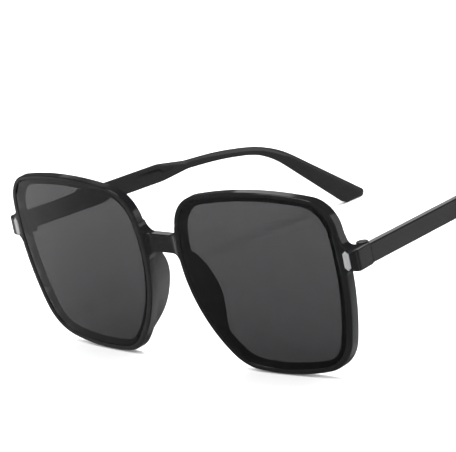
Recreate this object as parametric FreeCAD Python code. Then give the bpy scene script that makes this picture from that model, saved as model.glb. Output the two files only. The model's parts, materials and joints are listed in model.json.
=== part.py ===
import FreeCAD, Part
import math
import os

# Oversized square sunglasses with flat grey lenses, standing open on a table.
# X runs across the face, -Y is the front, +Z is up. Left and right are the wearer's.

V = FreeCAD.Vector

# Front view: each rim fills the width between the bridge and its end piece
overall_width = 148.0       # over the end pieces at the seam
lug_reach = 4.1             # end piece, out from the rim
rim_gap = 13.8              # between the two rims at the bridge

# Rim outline, measured from its nasal side and its lowest point
rim_height = 56.7
top_crest = 34.0            # highest point of the top edge, out from the nasal side
top_radius = 130.0
bottom_crest = 30.3         # lowest point of the bottom edge, out from the nasal side
bottom_radius = 81.5
outer_level = 37.5          # height of the outermost point
outer_radius = 84.0
nasal_level = 35.6          # height of the innermost point
nasal_radius = 44.4
corner_outer_top = 10.0
corner_nasal_top = 12.4
corner_nasal_bottom = 14.2
corner_outer_bottom = 14.6

# Rim section and lens
front_radius = 530.0        # shallow ball that the whole front follows
rim_depth = 3.1
lip_outer = 2.15            # raised lip between the rim's edge and the lens, on each side
lip_top = 1.25
lip_nasal = 2.0
lip_bottom = 1.7
ledge_outer = 2.45          # ledge that the lens lies on, in from the lip
ledge_top = 1.8
ledge_nasal = 1.8
ledge_bottom = 1.5
window_outer_top = 9.0      # corners of the opening inside the ledge
window_nasal_top = 10.0
window_nasal_bottom = 11.5
window_outer_bottom = 9.7
lens_recess = 0.2
lens_thickness = 1.9
lens_clearance = 0.05
rim_front_edge = 0.4
rim_back_edge = 0.3
lip_inner_edge = 0.15
lens_edge = 0.15
front_lean = 2.3            # top of the front leans forward, degrees

# Bridge
bridge_top = 41.4
bridge_bottom = 35.6
bridge_setback = 0.9
bridge_depth = 2.9
bridge_top_round = 4.0
bridge_bottom_round = 3.8
bridge_blend = 2.6          # hollow that leads the bridge's face into the rims
bridge_edge = 0.4

# Nose pads: height, how far they stand behind the rim there, and how far out from the rim's edge
pad_stations = [(36.4, 0.25, 1.4), (35.4, 2.2, 1.45), (33.6, 3.7, 1.55), (31.2, 5.1, 1.8), (27.2, 6.5, 2.1),
                (23.2, 6.9, 2.4), (17.2, 5.6, 1.9), (11.2, 2.3, 1.3), (7.5, -0.1, 1.3)]
pad_half = 1.1              # half thickness of a pad near its back
pad_edge = 0.7              # slope of a pad's back edge
pad_root_inset = 0.4

# Temples, side view from the hinge axis back
seam_depth = 7.35           # seam behind the front of the rim's outer side
temple_inset = 5.6          # each temple closes in towards the back, degrees
temple_slope = 2.1          # flat band falls towards the back, degrees
temple_thickness = 2.7
temple_level = 37.3         # middle of the temple at the seam
band_height = 5.75
neck_start = 53.0           # where the flat band begins to narrow
neck_end = 64.0
neck_round = 14.0
neck_slope = 4.0            # fall along the neck, degrees
slim_height = 2.65
slim_slope = 5.1            # slim arm's fall at its start, degrees
arm_crest = 79.0            # middle of the slim arm's shallow arch
arm_slope = 12.5            # slim arm's fall towards the ear, degrees
arm_round = 130.0
ear_top = 100.2             # where the top edge turns down
ear_bottom = 97.9           # where the lower edge turns down
ear_top_round = 46.0
ear_bottom_round = 36.0
drop_top = 37.6             # fall of the top edge behind the ear, degrees
drop_bottom = 43.2          # fall of the lower edge behind the ear, degrees
heel_round = 1.45
toe_round = 3.0
temple_edge = 0.45
temple_inner_edge = 0.4     # slope towards the head, across the temple
temple_inner_fall = 1.0     # the same slope, down the inner face

# End pieces
lug_height = 6.2
lug_flare_top = 4.2         # hollow between the end piece and the rim above it
lug_flare_bottom = 1.8      # the same below it
lug_flare_sunk = 0.05       # how far the ends of both hollows reach into the rim
lug_front_turn = 10.0       # front face turns outward, degrees
lug_corner_round = 1.2
lug_inner_round = 1.5
lug_edge = 0.3

# Silver inlays
inlay_width = 2.1
inlay_height = 5.85
inlay_point = 0.9           # height of the pointed ends
inlay_out = 0.9             # centre, out from the rim
inlay_thickness = 0.8
inlay_raise = 0.2
inlay_clearance = 0.03
inlay_edge = 0.12

# Hinges
seam_gap = 0.2
barrel_radius = 1.75
barrel_height = 6.8
barrel_inset = 0.2          # axis inside the temple's inner face
barrel_relief = 0.25
knuckle_gap = 0.06
screw_radius = 0.6
screw_clearance = 0.03
screw_head_radius = 1.05
screw_head_height = 0.6
slot_width = 0.3
slot_depth = 0.25
leaf_thickness = 0.8
leaf_sunk = 0.5
leaf_height = 3.0
leaf_front_length = 3.0
leaf_temple_length = 8.0
leaf_clearance = 0.02

rim_inner = rim_gap / 2
rim_outer = overall_width / 2 - lug_reach
lip = [lip_outer, lip_top, lip_nasal, lip_bottom]
ledge = [ledge_outer, ledge_top, ledge_nasal, ledge_bottom]
rim_rounds = [corner_outer_top, corner_nasal_top, corner_nasal_bottom, corner_outer_bottom]
window_rounds = [window_outer_top, window_nasal_top, window_nasal_bottom, window_outer_bottom]
shelf_depth = rim_depth - lens_recess - lens_thickness
ball_centre = V(0, front_radius, nasal_level)
up = V(0, 0, 1)
outside_face = barrel_inset + temple_thickness
inset_turn = math.radians(temple_inset)
far = 30.0                  # reach of cutting bodies past the material
same_point = 1e-6
near = 0.02                 # how close an edge lies to the outline it is picked by


def rounded_polygon(points, radii):
    """Closed outline of (x, y) points, each corner rounded by its radius."""
    count = len(points)
    edges = []
    starts = []
    ends = []
    middles = []
    for i in range(count):
        here = V(points[i][0], points[i][1], 0)
        before = V(points[i - 1][0], points[i - 1][1], 0)
        after = V(points[(i + 1) % count][0], points[(i + 1) % count][1], 0)
        a = (before - here).normalize()
        b = (after - here).normalize()
        half = a.getAngle(b) / 2
        reach = radii[i] / math.tan(half)
        bisector = (a + b).normalize()
        starts.append(here + a * reach)
        ends.append(here + b * reach)
        middles.append(here + bisector * (radii[i] / math.sin(half) - radii[i]))
    for i in range(count):
        if radii[i] > 0:
            edges.append(Part.Arc(starts[i], middles[i], ends[i]).toShape())
        if ends[i].distanceToPoint(starts[(i + 1) % count]) > same_point:
            edges.append(Part.makeLine(ends[i], starts[(i + 1) % count]))
    return Part.Wire(edges)


def meet_circles(c1, r1, c2, r2, target):
    """The crossing of two circles that is closer to a given point."""
    d = c2 - c1
    along = (r1 ** 2 - r2 ** 2 + d.Length ** 2) / (2 * d.Length)
    e = V(d).normalize()
    side = V(-e.y, e.x, 0) * math.sqrt(r1 ** 2 - along ** 2)
    first = c1 + e * along + side
    second = c1 + e * along - side
    return min([first, second], key=target.distanceToPoint)


def rim_wire(insets=(0, 0, 0, 0), rounds=None):
    """Lens-shaped outline in front view: four shallow sides and four round corners, each side drawn in by its inset."""
    sides = [
        (V(rim_outer - outer_radius, outer_level, 0), outer_radius - insets[0]),
        (V(rim_inner + top_crest, rim_height - top_radius, 0), top_radius - insets[1]),
        (V(rim_inner + nasal_radius, nasal_level, 0), nasal_radius - insets[2]),
        (V(rim_inner + bottom_crest, bottom_radius, 0), bottom_radius - insets[3]),
    ]
    tips = [V(rim_outer, rim_height, 0), V(rim_inner, rim_height, 0), V(rim_inner, 0, 0), V(rim_outer, 0, 0)]
    corners = rounds or [rim_rounds[i] - (insets[i] + insets[(i + 1) % 4]) / 2 for i in range(4)]
    centres = []
    for i in range(4):
        (c1, r1), (c2, r2) = sides[i], sides[(i + 1) % 4]
        centres.append(meet_circles(c1, r1 - corners[i], c2, r2 - corners[i], tips[i]))
    edges = []
    for i in range(4):
        c, r = sides[i]
        start = c + (centres[i - 1] - c).normalize() * r
        end = c + (centres[i] - c).normalize() * r
        middle = c + ((start + end) * 0.5 - c).normalize() * r
        edges.append(Part.Arc(start, middle, end).toShape())
        c_next = sides[(i + 1) % 4][0]
        finish = centres[i] + (centres[i] - c_next).normalize() * corners[i]
        bulge = ((end + finish) * 0.5 - centres[i]).normalize()
        edges.append(Part.Arc(end, centres[i] + bulge * corners[i], finish).toShape())
    return Part.Wire(edges)


def stand(wire):
    """Turn an outline drawn in x, y into the front view's x, z."""
    turned = wire.copy()
    turned.rotate(V(0, 0, 0), V(1, 0, 0), 90)
    return turned


def prism(wire, start, end):
    """Front-view outline made solid between two depths."""
    face = Part.Face(stand(wire))
    face.translate(V(0, start, 0))
    return face.extrude(V(0, end - start, 0))


def ball(inset):
    return Part.makeSphere(front_radius - inset, ball_centre)


def ball_depth(x, z):
    """How far the front has fallen back at a place in the front view."""
    return front_radius - math.sqrt(front_radius ** 2 - x ** 2 - (z - nasal_level) ** 2)


side_depth = ball_depth(rim_outer, outer_level)
hinge_axis = V(overall_width / 2 - outside_face * math.cos(inset_turn),
               side_depth + seam_depth - outside_face * math.sin(inset_turn), 0)


def middle_of(edge):
    return edge.valueAt((edge.FirstParameter + edge.LastParameter) / 2)


def edges_on_ball(shape, inset):
    """Edges that lie on the ball drawn in by inset."""
    radius = front_radius - inset
    found = []
    for edge in shape.Edges:
        points = [v.Point for v in edge.Vertexes] + [middle_of(edge)]
        if all(abs(p.distanceToPoint(ball_centre) - radius) < near for p in points):
            found.append(edge)
    return found


def mirrored(shape):
    return shape.mirror(V(0, 0, 0), V(1, 0, 0))


def beside(wire, x, y):
    """Whether a point lies on an outline."""
    return wire.distToShape(Part.Vertex(x, y, 0))[0] < near


def rim():
    """One rim: a raised lip round a ledge that the lens lies on."""
    blank = prism(rim_wire(), -far, far).common(ball(0)).cut(ball(rim_depth))
    blank = blank.makeChamfer(rim_front_edge, edges_on_ball(blank, 0))
    blank = blank.makeChamfer(rim_back_edge, edges_on_ball(blank, rim_depth))
    lip_wire = rim_wire(lip)
    seat = prism(lip_wire, -far, far).cut(ball(lens_recess + lens_thickness))
    window = prism(rim_wire([a + b for a, b in zip(lip, ledge)], window_rounds), -far, far)
    ring = blank.cut(seat).cut(window)
    lip_edges = [e for e in edges_on_ball(ring, 0) if beside(lip_wire, middle_of(e).x, middle_of(e).z)]
    return ring.makeChamfer(lip_inner_edge, lip_edges)


def lens():
    outline = rim_wire([width + lens_clearance for width in lip])
    blank = prism(outline, -far, far).common(ball(lens_recess)).cut(ball(lens_recess + lens_thickness))
    return blank.makeChamfer(lens_edge, edges_on_ball(blank, lens_recess))


def hollow(centre, radius, level, rounding, side, rise):
    """Round hollow between a level line and the outside of a circle: its arc and its two ends."""
    z = level + rise * rounding
    x = centre.x + side * math.sqrt((radius + rounding) ** 2 - (z - centre.y) ** 2)
    focus = V(x, z, 0)
    on_line = V(x, level, 0)
    on_circle = centre + (focus - centre) * (radius / (radius + rounding))
    middle = focus + ((on_line + on_circle) * 0.5 - focus).normalize() * rounding
    return Part.Arc(on_line, middle, on_circle).toShape(), on_line, on_circle


def closed(edges, points):
    """Wire of the given edges and of straight lines between the pairs of points."""
    lines = [Part.makeLine(a, b) for a, b in points]
    return Part.Wire(Part.__sortEdges__(edges + lines))


def bridge():
    """Bar between the rims: its front view and its plan are each an outline, and it fills both."""
    nose_side = V(rim_inner + nasal_radius, nasal_level, 0)
    root = V(lip_nasal / 2, 0, 0)
    top, top_line, top_rim = hollow(nose_side, nasal_radius, bridge_top, bridge_top_round, -1, 1)
    low, low_line, low_rim = hollow(nose_side, nasal_radius, bridge_bottom, bridge_bottom_round, -1, -1)
    half = [top, low]
    pairs = [(top_rim, top_rim + root), (top_rim + root, low_rim + root), (low_rim + root, low_rim)]
    arcs = half + [mirrored(e) for e in half]
    pairs += [(V(-a.x, a.y, 0), V(-b.x, b.y, 0)) for a, b in pairs]
    pairs += [(top_line, V(-top_line.x, top_line.y, 0)), (low_line, V(-low_line.x, low_line.y, 0))]
    bar = prism(closed(arcs, pairs), -far, far)
    wall = (top_rim + root).x
    back = bridge_setback + bridge_depth
    fall_back = bridge_setback - rim_front_edge
    flat = rim_inner - bridge_blend
    sweep = (bridge_blend ** 2 + fall_back ** 2) / (2 * fall_back)
    turn = math.asin(bridge_blend / sweep) / 2
    lead = V(flat + sweep * math.sin(turn), bridge_setback - sweep * (1 - math.cos(turn)), 0)
    blend = Part.Arc(V(flat, bridge_setback, 0), lead, V(rim_inner, rim_front_edge, 0)).toShape()
    side = [(V(rim_inner, rim_front_edge, 0), V(wall, rim_front_edge, 0)),
            (V(wall, rim_front_edge, 0), V(wall, back, 0))]
    side += [(V(-a.x, a.y, 0), V(-b.x, b.y, 0)) for a, b in side]
    side += [(V(-flat, bridge_setback, 0), V(flat, bridge_setback, 0)), (V(-wall, back, 0), V(wall, back, 0))]
    slab = Part.Face(closed([blend, mirrored(blend)], side)).extrude(up * rim_height)
    bar = bar.common(slab)
    free = [e for e in bar.Edges if abs(middle_of(e).x) < rim_inner - bridge_edge]
    return bar.makeChamfer(bridge_edge, free)


def rim_edge(z):
    """How far out the nasal side of the rim lies at a height."""
    line = Part.makeLine(V(0, z, 0), V((rim_inner + rim_outer) / 2, z, 0))
    hits = rim_wire().distToShape(line)[1]
    return min(pair[0].x for pair in hits)


def pad():
    """Moulded nose pad: a wall that grows out of the rim's back, deepest at the middle."""
    sections = []
    for z, stand_off, out in pad_stations:
        edge = rim_edge(z)
        back = ball_depth(edge, z) + rim_depth
        root = back - shelf_depth / 2
        slope = min(pad_edge, (stand_off + shelf_depth / 2) / 2)
        tail = back + stand_off
        middle = edge + out
        corners = [V(edge + pad_root_inset, root, z), V(middle - pad_half, tail - slope, z),
                   V(middle - pad_half + pad_edge, tail, z), V(middle + pad_half - pad_edge, tail, z),
                   V(middle + pad_half, tail - slope, z), V(edge + lip_nasal + ledge_nasal - pad_root_inset, root, z)]
        sections.append(Part.makePolygon(corners + corners[:1]))
    return Part.makeLoft(sections, True, False)


def inlay_wire(grow):
    """Long six-sided plate seen from the front, widened all round by grow."""
    half = inlay_width / 2
    tall = inlay_height / 2
    slant = math.atan2(inlay_point, half)
    reach = grow / math.cos(slant)
    shoulder = tall - inlay_point + reach - grow * math.tan(slant)
    points = [(half + grow, -shoulder), (half + grow, shoulder), (0, tall + reach),
              (-half - grow, shoulder), (-half - grow, -shoulder), (0, -tall - reach)]
    return rounded_polygon(points, [0] * 6)


def in_plan(x, y):
    """Plan place of a point drawn at the hinge axis."""
    return (hinge_axis.x + x * math.cos(inset_turn) - y * math.sin(inset_turn),
            hinge_axis.y + x * math.sin(inset_turn) + y * math.cos(inset_turn))


def lug_front(x):
    """Depth of the end piece's front face, level with the rim where they meet."""
    return side_depth + (x - rim_outer) * math.tan(math.radians(lug_front_turn))


def lug():
    """End piece: leaves the rim's side, turns the corner and ends at the seam."""
    root = rim_outer - lip_outer / 2
    back = side_depth + rim_depth - rim_back_edge
    outer_end = in_plan(outside_face, -seam_gap / 2)
    inner_end = in_plan(barrel_inset, -seam_gap / 2)
    slant = math.tan(inset_turn)
    turn = math.tan(math.radians(lug_front_turn))
    corner_x = outer_end[0] + (outer_end[1] - lug_front(outer_end[0])) * slant / (1 + turn * slant)
    inner_x = inner_end[0] + (inner_end[1] - back) * slant
    plan = [(root, lug_front(root)), (corner_x, lug_front(corner_x)), outer_end, inner_end,
            (inner_x, back), (root, back)]
    outline = rounded_polygon(plan, [0, lug_corner_round, 0, 0, lug_inner_round, 0])
    skin = Part.Wire(outline.Edges[:3])
    slab = Part.Face(outline).extrude(up * rim_height)
    outer_side = V(rim_outer - outer_radius, outer_level, 0)
    upper = temple_level + lug_height / 2
    lower = temple_level - lug_height / 2
    reach_in = outer_radius - lug_flare_sunk
    top, top_line, top_rim = hollow(outer_side, reach_in, upper, lug_flare_top, 1, 1)
    low, low_line, low_rim = hollow(outer_side, reach_in, lower, lug_flare_bottom, 1, -1)
    inside = V(-lip_outer / 2, 0, 0)
    reach = V(far, 0, 0)
    pairs = [(top_rim, top_rim + inside), (top_rim + inside, low_rim + inside), (low_rim + inside, low_rim),
             (top_line, top_line + reach), (top_line + reach, low_line + reach), (low_line + reach, low_line)]
    body = slab.common(prism(closed([top, low], pairs), -far, far))
    rims = [e for e in body.Edges if abs(middle_of(e).z - temple_level) > lug_height / 4
            and beside(skin, middle_of(e).x, middle_of(e).y)]
    return body.makeChamfer(lug_edge, rims)


def fall(length, degrees):
    return length * math.tan(math.radians(degrees))


def temple_outline():
    """Side view (along, up): flat band, neck, slim arm, ear bend and a tip that lies on the table."""
    half = band_height / 2
    slim = slim_height / 2
    seam = temple_level - fall(seam_gap / 2, temple_slope)
    start = temple_level - fall(neck_start, temple_slope)
    end = start - fall(neck_end - neck_start, neck_slope)
    crest = end - fall(arm_crest - neck_end, slim_slope)
    turn_top = crest + slim - fall(ear_top - arm_crest, arm_slope)
    turn_bottom = crest - slim - fall(ear_bottom - arm_crest, arm_slope)
    heel = ear_top + turn_top / math.tan(math.radians(drop_top))
    toe = ear_bottom + turn_bottom / math.tan(math.radians(drop_bottom))
    points = [(seam_gap / 2, seam + half), (neck_start, start + half), (neck_end, end + slim),
              (arm_crest, crest + slim), (ear_top, turn_top), (heel, 0), (toe, 0), (ear_bottom, turn_bottom),
              (arm_crest, crest - slim), (neck_end, end - slim), (neck_start, start - half),
              (seam_gap / 2, seam - half)]
    radii = [0, neck_round, neck_round, arm_round, ear_top_round, heel_round, toe_round, ear_bottom_round,
             arm_round, neck_round, neck_round, 0]
    return rounded_polygon(points, radii)


def at_hinge(shape):
    """Put a shape drawn at the hinge axis in its place on the left side."""
    placed = shape.copy()
    placed.rotate(V(0, 0, 0), up, temple_inset)
    placed.translate(hinge_axis)
    return placed


def box(x0, x1, y0, y1, z0, z1):
    return Part.makeBox(x1 - x0, y1 - y0, z1 - z0, V(x0, y0, z0))


def post(radius, z0, z1):
    """Upright cylinder on the hinge axis."""
    return Part.makeCylinder(radius, z1 - z0, V(0, 0, z0))


knuckle = (barrel_height - 2 * knuckle_gap) / 3
barrel_bottom = temple_level - barrel_height / 2
barrel_top = temple_level + barrel_height / 2
middle_bottom = barrel_bottom + knuckle + knuckle_gap
middle_top = middle_bottom + knuckle
relief_radius = barrel_radius + barrel_relief


def leaf_plate(y0, y1, grow=0.0):
    """Flat of a hinge leaf, let into the plastic's inner face."""
    return box(barrel_inset + leaf_sunk - leaf_thickness - grow, barrel_inset + leaf_sunk + grow,
               y0 - grow, y1 + grow, temple_level - leaf_height / 2 - grow, temple_level + leaf_height / 2 + grow)


def front_leaf():
    """Two knuckles on a plate in the end piece."""
    plate = leaf_plate(-leaf_front_length, 0).cut(post(relief_radius, middle_bottom - knuckle_gap,
                                                       middle_top + knuckle_gap))
    lower = post(barrel_radius, barrel_bottom, barrel_bottom + knuckle)
    upper = post(barrel_radius, barrel_top - knuckle, barrel_top)
    leaf = plate.fuse(lower).fuse(upper)
    leaf = leaf.cut(post(screw_radius + screw_clearance, barrel_bottom - far, barrel_top + far))
    head = post(screw_head_radius + screw_clearance, barrel_top - screw_head_height - screw_clearance,
                barrel_top + far)
    return leaf.cut(head).removeSplitter()


def temple_leaf():
    """One knuckle on a plate in the temple."""
    plate = leaf_plate(0, leaf_temple_length)
    plate = plate.cut(post(relief_radius, barrel_bottom - far, middle_bottom))
    plate = plate.cut(post(relief_radius, middle_top, barrel_top + far))
    leaf = plate.fuse(post(barrel_radius, middle_bottom, middle_top))
    return leaf.cut(post(screw_radius + screw_clearance, barrel_bottom - far, barrel_top + far)).removeSplitter()


def screw():
    """Slotted screw whose shank is the hinge pin."""
    shank = post(screw_radius, barrel_bottom, barrel_top)
    head = post(screw_head_radius, barrel_top - screw_head_height, barrel_top)
    slot = box(-far, far, -slot_width / 2, slot_width / 2, barrel_top - slot_depth, barrel_top + far)
    return shank.fuse(head).removeSplitter().cut(slot)


def temple():
    """Flat band that necks down to a slim arm, bends at the ear and widens to its tip."""
    side = temple_outline()
    side.rotate(V(0, 0, 0), V(1, 1, 1), 120)
    arm = Part.Face(side).extrude(V(temple_thickness, 0, 0))
    arm.translate(V(barrel_inset, 0, 0))
    for x, across, down in [(barrel_inset, temple_inner_edge, temple_inner_fall),
                            (outside_face, temple_edge, temple_edge)]:
        long_edges = [e for e in arm.Edges if e.BoundBox.YMax > seam_gap
                      and all(abs(v.X - x) < same_point for v in e.Vertexes)]
        arm = arm.makeChamfer(across, down, long_edges)
    arm = arm.cut(post(relief_radius, 0, rim_height))
    return arm.cut(leaf_plate(0, leaf_temple_length, leaf_clearance))


def inlay_body(grow, start, end):
    """Plate or its pocket in the end piece's front face."""
    body = prism(inlay_wire(grow), start, end)
    body.rotate(V(0, 0, 0), up, lug_front_turn)
    x = rim_outer + inlay_out
    body.translate(V(x, lug_front(x), temple_level))
    return body


def inlay():
    plate = inlay_body(0, -inlay_raise, inlay_thickness - inlay_raise)
    front = min(plate.Faces, key=lambda f: f.CenterOfMass.y)
    return plate.makeChamfer(inlay_edge, front.Edges)


def lean(shape):
    """Tip the front forward about the bridge."""
    leaned = shape.copy()
    leaned.rotate(V(0, 0, nasal_level), V(1, 0, 0), front_lean)
    return leaned


front_drop = -lean(rim()).optimalBoundingBox().ZMin     # sets the rims down on the table


def front():
    """Rims, bridge, pads and end pieces moulded as one."""
    half = rim().fuse(pad())
    shell = half.fuse(mirrored(half)).fuse(bridge())
    shell = lean(shell)
    shell.translate(V(0, 0, front_drop))
    relief = at_hinge(post(relief_radius, 0, rim_height))
    pocket = at_hinge(leaf_plate(-leaf_front_length, 0, leaf_clearance))
    seat = inlay_body(inlay_clearance, -far, inlay_thickness - inlay_raise)
    end_piece = lug().cut(relief).cut(pocket)
    shell = shell.fuse(end_piece).fuse(mirrored(end_piece)).removeSplitter()
    return shell.cut(seat).cut(mirrored(seat))


def rest_lens():
    """Lens leaned with its rim."""
    glass = lean(lens())
    glass.translate(V(0, 0, front_drop))
    return glass


pieces = {"front_frame": front()}
for name, shape in [("lens", rest_lens()), ("inlay", inlay()), ("hinge_front", at_hinge(front_leaf())),
                    ("hinge_temple", at_hinge(temple_leaf())), ("hinge_screw", at_hinge(screw())),
                    ("temple", at_hinge(temple()))]:
    pieces[name + "_left"] = shape
    pieces[name + "_right"] = mirrored(shape)

# Origin under the middle of the whole, on the table
whole = Part.makeCompound(list(pieces.values())).optimalBoundingBox()
to_origin = V(0, -(whole.YMin + whole.YMax) / 2, 0)
os.makedirs("parts", exist_ok=True)
for name, shape in pieces.items():
    shape.translate(to_origin)
    shape.exportStep("parts/" + name + ".step")
axis = hinge_axis + to_origin
print("hinge axis", round(axis.x, 3), round(axis.y, 3))
print("size", round(whole.XLength, 2), round(whole.YLength, 2), round(whole.ZLength, 2))
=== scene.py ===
import bmesh
import bpy
import json
import math
from mathutils import Matrix, Vector


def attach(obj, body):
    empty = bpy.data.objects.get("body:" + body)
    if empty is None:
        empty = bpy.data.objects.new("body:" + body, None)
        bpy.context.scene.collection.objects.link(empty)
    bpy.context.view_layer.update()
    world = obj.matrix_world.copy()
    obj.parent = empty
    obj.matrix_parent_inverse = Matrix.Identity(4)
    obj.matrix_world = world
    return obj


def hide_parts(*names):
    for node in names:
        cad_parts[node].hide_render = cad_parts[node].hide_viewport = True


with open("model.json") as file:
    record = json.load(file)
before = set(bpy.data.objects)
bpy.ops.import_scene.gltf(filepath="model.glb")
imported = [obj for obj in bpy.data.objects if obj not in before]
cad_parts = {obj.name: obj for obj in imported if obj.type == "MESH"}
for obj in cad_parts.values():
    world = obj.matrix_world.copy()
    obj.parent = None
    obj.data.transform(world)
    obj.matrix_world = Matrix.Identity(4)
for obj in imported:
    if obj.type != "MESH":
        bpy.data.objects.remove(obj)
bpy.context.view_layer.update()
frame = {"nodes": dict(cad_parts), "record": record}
nodes = frame["nodes"]
print("frame loaded:", len(nodes), "nodes")

noiseEnds = (0.3, 0.7)  # most of a noise lies between these


def newMaterial(name):
    mat = bpy.data.materials.new(name)
    mat.use_nodes = True
    tree = mat.node_tree
    return mat, tree, tree.nodes["Principled BSDF"]


def addNode(tree, kind, settings):
    node = tree.nodes.new(kind)
    for socket, value in settings.items():
        node.inputs[socket].default_value = value
    return node


def objectPoint(tree, scale=(1, 1, 1)):
    coord = addNode(tree, "ShaderNodeTexCoord", {})
    mapping = addNode(tree, "ShaderNodeMapping", {"Scale": scale})
    tree.links.new(coord.outputs["Object"], mapping.inputs["Vector"])
    return mapping.outputs["Vector"]


def noise(tree, point, scale, detail=3.0, rough=0.5):
    tex = addNode(tree, "ShaderNodeTexNoise", {"Scale": scale, "Detail": detail, "Roughness": rough})
    tree.links.new(point, tex.inputs["Vector"])
    return tex.outputs["Fac"]


def fit(tree, value, ends, newEnds):
    settings = {"From Min": ends[0], "From Max": ends[1], "To Min": newEnds[0], "To Max": newEnds[1]}
    node = addNode(tree, "ShaderNodeMapRange", settings)
    tree.links.new(value, node.inputs["Value"])
    return node.outputs["Result"]


def fade(tree, value, stops):
    ramp = addNode(tree, "ShaderNodeValToRGB", {})
    marks = ramp.color_ramp.elements
    while len(marks) < len(stops):
        marks.new(0.5)
    for mark, (place, colour) in zip(marks, stops):
        mark.position = place
        mark.color = (*colour, 1)
    tree.links.new(value, ramp.inputs["Fac"])
    return ramp.outputs["Color"]


def twoTone(tree, value, dark, light):
    return fade(tree, value, [(noiseEnds[0], dark), (noiseEnds[1], light)])


# Colour and gloss that follow the same noise
def paint(tree, shader, grain, finish):
    tree.links.new(twoTone(tree, grain, finish["dark"], finish["light"]), shader.inputs["Base Color"])
    tree.links.new(fit(tree, grain, noiseEnds, finish["gloss"]), shader.inputs["Roughness"])


def bump(tree, shader, height, strength, push):
    node = addNode(tree, "ShaderNodeBump", {"Strength": strength, "Distance": push})
    tree.links.new(height, node.inputs["Height"])
    tree.links.new(node.outputs["Normal"], shader.inputs["Normal"])


plastic = {"dark": (0.004, 0.004, 0.0045), "light": (0.0065, 0.0065, 0.007), "gloss": (0.05, 0.11),
           "blotch": 140, "blotchDetail": 4.0, "blotchRough": 0.6, "index": 1.49,
           "ripple": 900, "rippleStrength": 0.2, "ripplePush": 0.000002,
           "even": (1, 1, 1), "alongArm": (1, 0.35, 1)}


def blackPlastic(name, stretch):
    mat, tree, shader = newMaterial(name)
    point = objectPoint(tree, stretch)
    blotch = noise(tree, point, plastic["blotch"], plastic["blotchDetail"], plastic["blotchRough"])
    paint(tree, shader, blotch, plastic)
    shader.inputs["IOR"].default_value = plastic["index"]
    ripple = noise(tree, point, plastic["ripple"])
    bump(tree, shader, ripple, plastic["rippleStrength"], plastic["ripplePush"])
    return mat


# The lens's grey tint is its own; the bottom colour adds painted shade for the shaded table seen through the
# lower part
tint = {"top": (0.0395, 0.0395, 0.0405), "bottom": (0.0228, 0.0228, 0.0238), "levels": (0.004, 0.05),
        "smear": 60, "gloss": (0.01, 0.02), "glint": (0.55, 0.55, 0.57, 1), "clear": 1.0, "index": 1.5}


# Tinted glass that gets darker towards its lower edge: the grey is the glass's own tint, and the darkening
# towards the bottom is painted shade for the shaded table seen through the lower part
def greyLens(name):
    mat, tree, shader = newMaterial(name)
    point = objectPoint(tree)
    split = addNode(tree, "ShaderNodeSeparateXYZ", {})
    tree.links.new(point, split.inputs["Vector"])
    height = fit(tree, split.outputs["Z"], tint["levels"], noiseEnds)
    # painted shade: the colour darkens from the top tint to the shaded bottom one towards the lower edge
    tree.links.new(twoTone(tree, height, tint["bottom"], tint["top"]), shader.inputs["Base Color"])
    smear = noise(tree, point, tint["smear"])
    tree.links.new(fit(tree, smear, noiseEnds, tint["gloss"]), shader.inputs["Roughness"])
    shader.inputs["Transmission Weight"].default_value = tint["clear"]
    shader.inputs["IOR"].default_value = tint["index"]
    shader.inputs["Specular Tint"].default_value = tint["glint"]
    return mat


silver = {"dark": (0.73, 0.73, 0.74), "light": (0.87, 0.87, 0.87), "gloss": (0.62, 0.72), "metal": 0.89,
          "grain": 1500, "grainDetail": 4.0, "grainRough": 0.6, "brushed": (1, 1, 0.05),
          "grainStrength": 0.2, "grainPush": 0.000004}


def silverPlate(name):
    mat, tree, shader = newMaterial(name)
    point = objectPoint(tree, silver["brushed"])
    grain = noise(tree, point, silver["grain"], silver["grainDetail"], silver["grainRough"])
    paint(tree, shader, grain, silver)
    shader.inputs["Metallic"].default_value = silver["metal"]
    bump(tree, shader, grain, silver["grainStrength"], silver["grainPush"])
    return mat


hingePlating = {"dark": (0.03, 0.03, 0.032), "light": (0.06, 0.06, 0.063), "gloss": (0.28, 0.45)}
screwSteel = {"dark": (0.12, 0.12, 0.125), "light": (0.22, 0.22, 0.225), "gloss": (0.25, 0.4)}
wear = {"grain": 700, "detail": 5.0, "rough": 0.65, "strength": 0.15, "push": 0.000005, "metal": 1.0}


def darkMetal(name, finish):
    mat, tree, shader = newMaterial(name)
    rubbed = noise(tree, objectPoint(tree), wear["grain"], wear["detail"], wear["rough"])
    paint(tree, shader, rubbed, finish)
    shader.inputs["Metallic"].default_value = wear["metal"]
    bump(tree, shader, rubbed, wear["strength"], wear["push"])
    return mat


finishes = {
    "black_frame": blackPlastic("frameBlack", plastic["even"]),
    "black_temple": blackPlastic("templeBlack", plastic["alongArm"]),
    "grey_lens": greyLens("lensGrey"),
    "silver_inlay": silverPlate("inlaySilver"),
    "hinge_metal": darkMetal("hingeBlack", hingePlating),
    "hinge_screw": darkMetal("screwSteel", screwSteel),
}
print("finishes mixed:", len(finishes))

slotOf = {s["node"]: s["material_slot"] for s in frame["record"]["subparts"]}
bodyOf = {n: body for body, members in frame["record"]["behaviour"]["bodies"].items() for n in members}

# Metres and degrees: edges steeper than the crease stay sharp,
# and patches narrower than the bevel are weak in the shading
softEdge = {"weld": 0.000001, "crease": 52, "turn": 25, "bevel": 0.0007, "weak": -16384, "strong": 16384}


# Groups of faces that turn gently into each other, with their mean width
def patches(bm):
    left = set(bm.faces)
    while left:
        patch = [left.pop()]
        rim = 0.0
        for face in patch:
            for edge in face.edges:
                near = edge.is_manifold and edge.calc_face_angle() < math.radians(softEdge["turn"])
                rim += 0.0 if near else edge.calc_length()
                beside = [other for other in edge.link_faces if near and other in left]
                left.difference_update(beside)
                patch.extend(beside)
        yield patch, 2 * sum(face.calc_area() for face in patch) / max(rim, softEdge["weld"])


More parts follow.
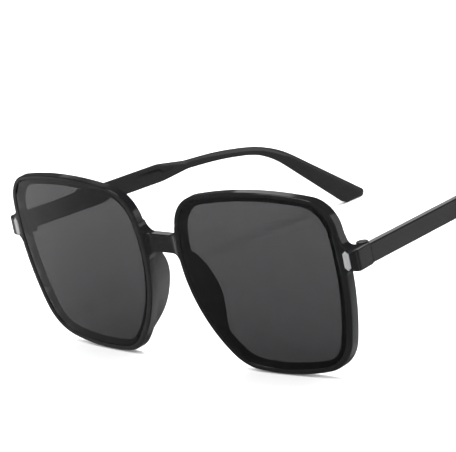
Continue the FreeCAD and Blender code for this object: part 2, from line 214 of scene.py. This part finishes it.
# A node's shape with its bevels shaded round: they take their slant from the faces beside them
def softened(name):
    mesh = nodes[name].data.copy()
    mesh.materials.clear()
    bm = bmesh.new()
    bm.from_mesh(mesh)
    bmesh.ops.remove_doubles(bm, verts=bm.verts, dist=softEdge["weld"])
    for face in bm.faces:
        face.smooth = True
    for edge in bm.edges:
        edge.smooth = edge.is_manifold and edge.calc_face_angle() < math.radians(softEdge["crease"])
    weight = bm.faces.layers.int.new("__mod_weightednormals_faceweight")  # the modifier below reads this name
    for patch, width in patches(bm):
        for face in patch:
            face[weight] = softEdge["weak"] if width < softEdge["bevel"] else softEdge["strong"]
    bm.to_mesh(mesh)
    bm.free()
    piece = bpy.data.objects.new(name + "Soft", mesh)
    bpy.context.collection.objects.link(piece)
    shade = piece.modifiers.new("roundShade", "WEIGHTED_NORMAL")
    shade.keep_sharp = True
    shade.use_face_influence = True
    return piece


for name in nodes:
    piece = softened(name)
    piece.data.materials.append(finishes[slotOf[name]])
    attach(piece, bodyOf[name])
    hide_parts(name)
print("pieces dressed:", len(nodes))

table = {"size": 6.0, "drop": 0.0002, "pale": (0.9, 0.9, 0.905), "paler": (0.94, 0.94, 0.94), "cloud": 3.0,
         "rough": 0.9, "shine": 0.1}
bpy.ops.mesh.primitive_plane_add(size=table["size"], location=(0, 0, -table["drop"]))
floor = bpy.context.object
floor.name = "tableTop"
mat, tree, shader = newMaterial("tablePale")
cloud = noise(tree, objectPoint(tree), table["cloud"])
tree.links.new(twoTone(tree, cloud, table["pale"], table["paler"]), shader.inputs["Base Color"])
shader.inputs["Roughness"].default_value = table["rough"]
shader.inputs["Specular IOR Level"].default_value = table["shine"]
floor.data.materials.append(mat)
floor.visible_glossy = False  # the black parts mirror the room, not the bright table

# Spreads in degrees: the ceiling lamp casts the shadows, the fill keeps them pale
skyLights = {
    "ceiling": {"toward": (0.233, 0.279, 0.932), "power": 2.7, "spread": 18},
    "fill": {"toward": (0.0, 0.0, 1.0), "power": 4.0, "spread": 175},
}
for name, setup in skyLights.items():
    sun = bpy.data.lights.new(name, "SUN")
    sun.energy = setup["power"]
    sun.angle = math.radians(setup["spread"])
    holder = bpy.data.objects.new(name, sun)
    holder.rotation_euler = Vector(setup["toward"]).to_track_quat("Z", "Y").to_euler()
    holder.visible_glossy = False  # only the panels and the room are mirrored
    bpy.context.collection.objects.link(holder)

panelDistance = 1.3
softBoxes = {
    "key": {"toward": (-0.354, -0.424, 0.834), "along": (0.63, -0.24, 0.23),
            "size": (0.62, 0.28), "power": 5.2},
    "rear": {"toward": (-0.618, 0.687, 0.383), "along": (0.554, 0.734, -0.392),
             "size": (0.5, 0.36), "power": 0.47},
    "side": {"toward": (0.727, 0.655, 0.208), "along": (0.0, 0.0, 1.0),
             "size": (0.95, 0.26), "power": 0.68},
}
for name, setup in softBoxes.items():
    panel = bpy.data.lights.new(name, "AREA")
    panel.shape = "RECTANGLE"
    panel.size, panel.size_y = setup["size"]
    panel.energy = setup["power"]
    back = Vector(setup["toward"]).normalized()
    across = back.cross(Vector(setup["along"])).normalized()
    holder = bpy.data.objects.new(name, panel)
    holder.matrix_world = Matrix([across.cross(back), across, back]).transposed().to_4x4()
    holder.matrix_world.translation = back * panelDistance
    bpy.context.collection.objects.link(holder)
print("table and lamps placed")

# The room that the shiny parts mirror: dark grey, with a light band low round the front
# and a glow low at the back
room = {"facing": (0.1, 0.6, 0.79), "glowFrom": (0.504, 0.806, -0.309), "shineFrom": (0.23, 0.776, -0.588),
        "tones": [(-0.83, 0.16), (-0.79, 0.15), (-0.74, 0.22), (-0.7, 0.26), (-0.64, 0.29), (-0.6, 0.42),
                  (-0.53, 0.8), (-0.48, 0.95), (-0.44, 0.85), (-0.37, 0.1)],
        "glow": [(0.6, 0.0), (0.7, 0.36), (0.95, 0.34), (0.985, 0.55)],
        "shine": [(0.93, 0.0), (0.98, 0.34), (1.0, 0.5)]}
world = bpy.data.worlds.new("studio")
bpy.context.scene.world = world
world.use_nodes = True
tree = world.node_tree
coord = addNode(tree, "ShaderNodeTexCoord", {})


# Grey levels by how far a direction turns towards the one given, from -1 to 1
def roomTone(facing, stops):
    turn = addNode(tree, "ShaderNodeVectorMath", {1: facing})
    turn.operation = "DOT_PRODUCT"
    tree.links.new(coord.outputs["Generated"], turn.inputs[0])
    half = fit(tree, turn.outputs["Value"], (-1, 1), (0, 1))
    return fade(tree, half, [((place + 1) / 2, (level, level, level)) for place, level in stops])


total = roomTone(room["facing"], room["tones"])
for facing, stops in [(room["glowFrom"], room["glow"]), (room["shineFrom"], room["shine"])]:
    both = addNode(tree, "ShaderNodeVectorMath", {})
    both.operation = "ADD"
    tree.links.new(total, both.inputs[0])
    tree.links.new(roomTone(facing, stops), both.inputs[1])
    total = both.outputs["Vector"]
tree.links.new(total, tree.nodes["Background"].inputs["Color"])
bpy.context.scene.view_settings.view_transform = "Standard"
print("room toned")

shot = {"place": (0.57961, -0.572456, 0.26096), "right": (0.700231, 0.687780, -0.191398),
        "up": (-0.067405, 0.330592, 0.941363), "ahead": (-0.710727, 0.646271, -0.277849),
        "lens": 213.508, "sensor": 36}
camData = bpy.data.cameras.new("shot")
camData.lens = shot["lens"]
camData.sensor_width = shot["sensor"]
cam = bpy.data.objects.new("shot", camData)
axes = Matrix([shot["right"], shot["up"], [-a for a in shot["ahead"]]]).transposed().to_4x4()
axes.translation = shot["place"]
cam.matrix_world = axes
bpy.context.collection.objects.link(cam)
bpy.context.scene.camera = cam
print("camera set")
